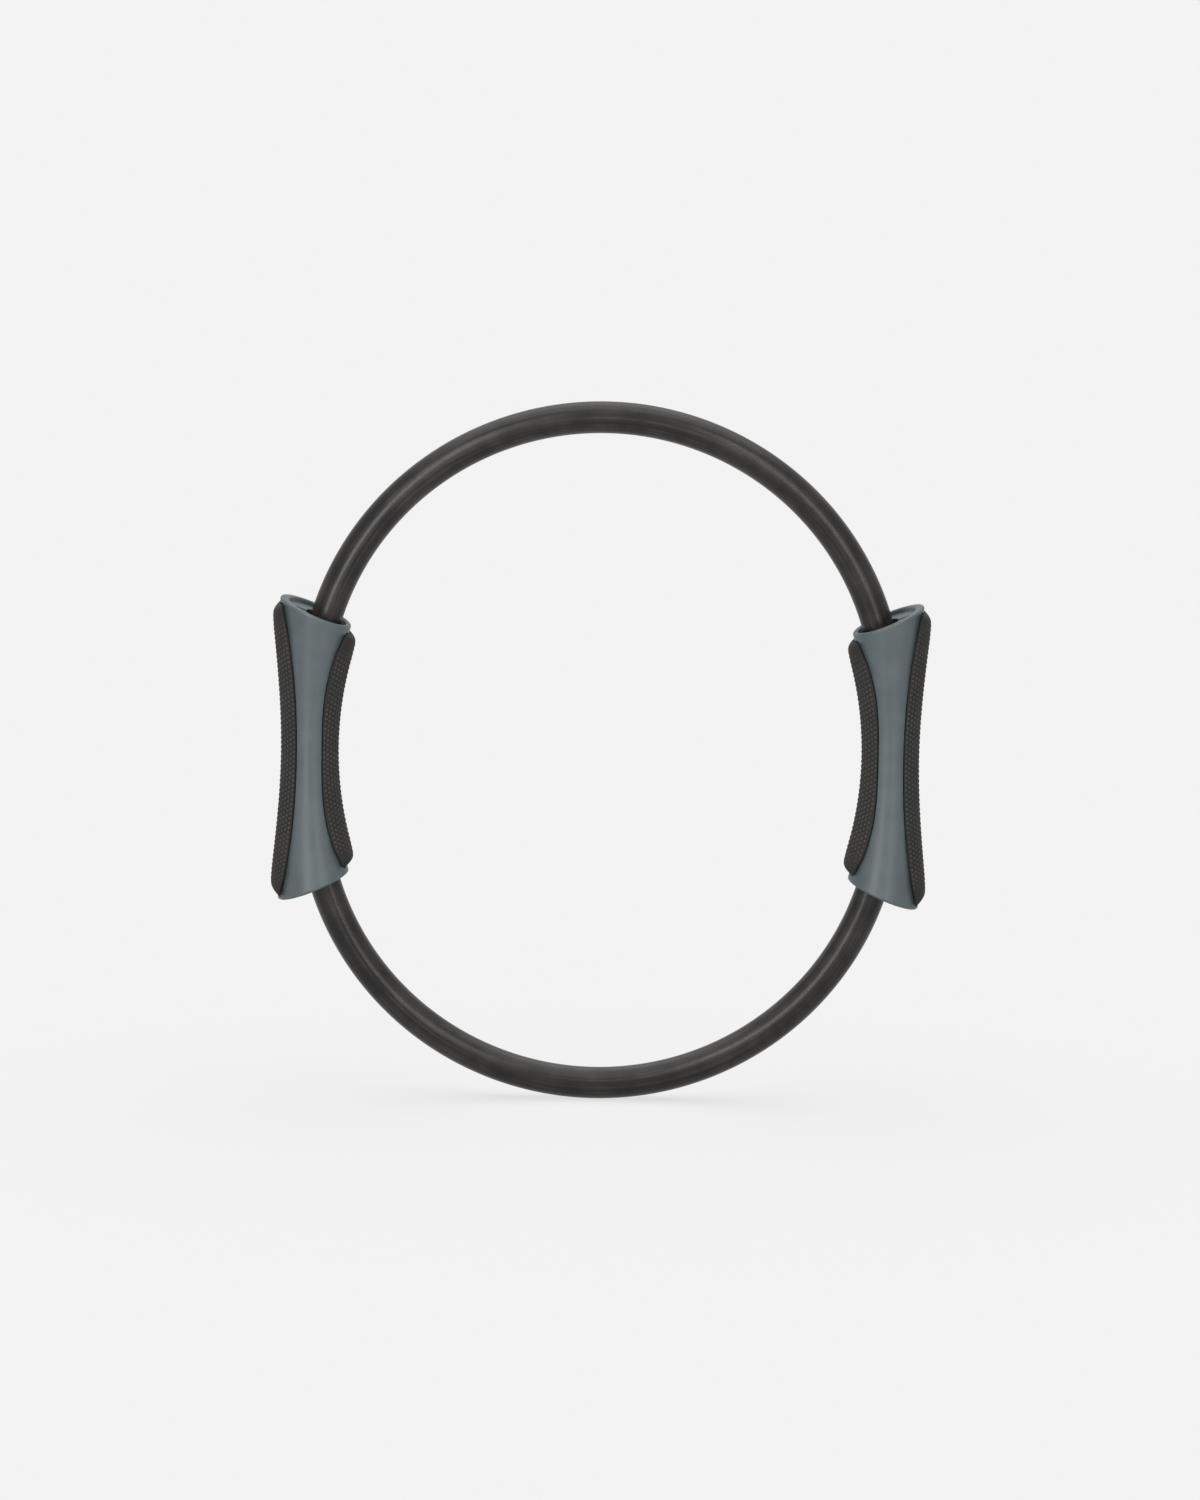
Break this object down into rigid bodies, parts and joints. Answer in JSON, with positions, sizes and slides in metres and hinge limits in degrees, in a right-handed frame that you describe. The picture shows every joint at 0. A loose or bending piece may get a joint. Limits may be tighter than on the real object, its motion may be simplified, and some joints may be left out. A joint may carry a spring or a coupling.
{
  "type": "pilates ring",
  "caption": "Sprung exercise ring: rubber-sleeved hoop, a little taller than wide, with hourglass padded handles on opposite sides to squeeze or pull apart.",
  "frame": {"origin": "middle of the ring, on its axis, halfway between the two handles", "axes": "+X to the right handle, +Y along the ring's axis away from the viewer, +Z to the upper crown"},
  "size_m": [0.3518, 0.0414, 0.38],
  "materials": {
    "sleeve_rubber": "matte",
    "fibreglass": "semi-gloss",
    "shell_plastic": "satin",
    "pad_foam": "matte",
    "ferrule_steel": "satin",
    "screw_steel": "satin"
  },
  "bodies": {
    "upper_bow": {"upper_sleeve": "sleeve_rubber", "upper_outer_leaf": "fibreglass", "upper_inner_leaf": "fibreglass"},
    "left_handle": {"left_front_shell": "shell_plastic", "left_back_shell": "shell_plastic", "left_outer_pad": "pad_foam", "left_inner_pad": "pad_foam", "left_leaf_ferrule": "ferrule_steel", "left_ferrule_rivets": "ferrule_steel", "left_shell_screws": "screw_steel"},
    "right_handle": {"right_front_shell": "shell_plastic", "right_back_shell": "shell_plastic", "right_outer_pad": "pad_foam", "right_inner_pad": "pad_foam", "right_leaf_ferrule": "ferrule_steel", "right_ferrule_rivets": "ferrule_steel", "right_shell_screws": "screw_steel"},
    "lower_bow": {"lower_sleeve": "sleeve_rubber", "lower_outer_leaf": "fibreglass"},
    "lower_inner_bow": {"lower_inner_leaf": "fibreglass"}
  },
  "joints": [
    {"name": "left_press", "type": "slide", "parent": "upper_bow", "child": "left_handle", "axis": [0.725, 0, -0.6887], "range_m": [-0.0166, 0.0414], "stiffness_N_per_m": 2700, "deforming": ["upper_sleeve", "upper_outer_leaf", "upper_inner_leaf", "lower_sleeve", "lower_outer_leaf", "lower_inner_leaf"]},
    {"name": "right_press", "type": "slide", "parent": "upper_bow", "child": "right_handle", "axis": [-0.725, 0, -0.6887], "range_m": [-0.0166, 0.0414], "deforming": ["upper_sleeve", "upper_outer_leaf", "upper_inner_leaf", "lower_sleeve", "lower_outer_leaf", "lower_inner_leaf"]},
    {"name": "lower_left_bend", "type": "slide", "parent": "left_handle", "child": "lower_bow", "axis": [-0.725, 0, -0.6887], "range_m": [-0.0166, 0.0414], "deforming": ["lower_sleeve", "lower_outer_leaf"]},
    {"name": "lower_right_bend", "type": "slide", "parent": "right_handle", "child": "lower_inner_bow", "axis": [0.725, 0, -0.6887], "range_m": [-0.0166, 0.0414], "deforming": ["lower_inner_leaf"]}
  ],
  "couplings": [
    {"joint": "right_press", "follows": "left_press", "ratio": 1},
    {"joint": "lower_left_bend", "follows": "left_press", "ratio": 1},
    {"joint": "lower_right_bend", "follows": "left_press", "ratio": 1}
  ]
}
